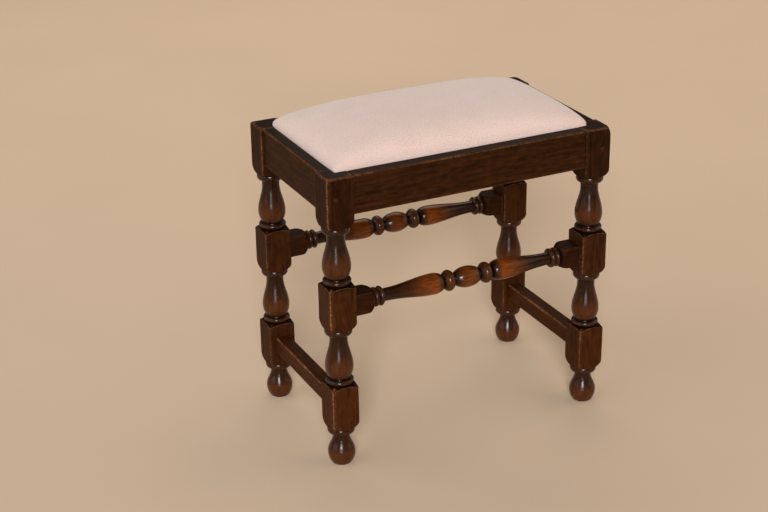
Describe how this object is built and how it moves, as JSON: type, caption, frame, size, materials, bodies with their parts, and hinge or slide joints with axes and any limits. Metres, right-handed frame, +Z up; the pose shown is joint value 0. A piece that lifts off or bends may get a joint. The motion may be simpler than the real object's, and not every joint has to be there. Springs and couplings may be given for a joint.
{
  "type": "upholstered stool",
  "caption": "Rectangular period stool in dark oak with legs turned between square blocks, turned and plain stretchers, and a loose drop-in seat in plain linen.",
  "frame": {"origin": "on the floor, under the middle of the stool", "axes": "+Z up, +X along the long side, -Y the front"},
  "size_m": [0.465, 0.281, 0.491],
  "materials": {
    "oak": "dark stained, waxed, worn arrises",
    "peg_oak": "dark end grain",
    "beech": "raw, planed",
    "jute": "coarse woven strap",
    "hessian": "open plain weave",
    "fibre": "loose fibre and wadding",
    "linen": "oatmeal plain weave",
    "lining": "black cotton lining"
  },
  "bodies": {
    "stool_frame": {"leg_front_left": "oak", "leg_front_right": "oak", "leg_back_left": "oak", "leg_back_right": "oak", "rail_front": "oak", "rail_back": "oak", "rail_left": "oak", "rail_right": "oak", "turned_stretcher_front": "oak", "turned_stretcher_back": "oak", "side_stretcher_left": "oak", "side_stretcher_right": "oak", "peg_front_left": "peg_oak", "peg_front_right": "peg_oak", "peg_back_left": "peg_oak", "peg_back_right": "peg_oak"},
    "drop_in_seat": {"seat_frame_front": "beech", "seat_frame_back": "beech", "seat_frame_left": "beech", "seat_frame_right": "beech", "webbing_long_1": "jute", "webbing_long_2": "jute", "webbing_cross_1": "jute", "webbing_cross_2": "jute", "webbing_cross_3": "jute", "webbing_cross_4": "jute", "hessian": "hessian", "stuffing_pad": "fibre", "linen_cover": "linen", "dust_cover": "lining"}
  },
  "joints": [
    {"name": "seat_lift", "type": "slide", "parent": "stool_frame", "child": "drop_in_seat", "axis": [0, 0, 1], "range_m": [0, 0.06]}
  ]
}
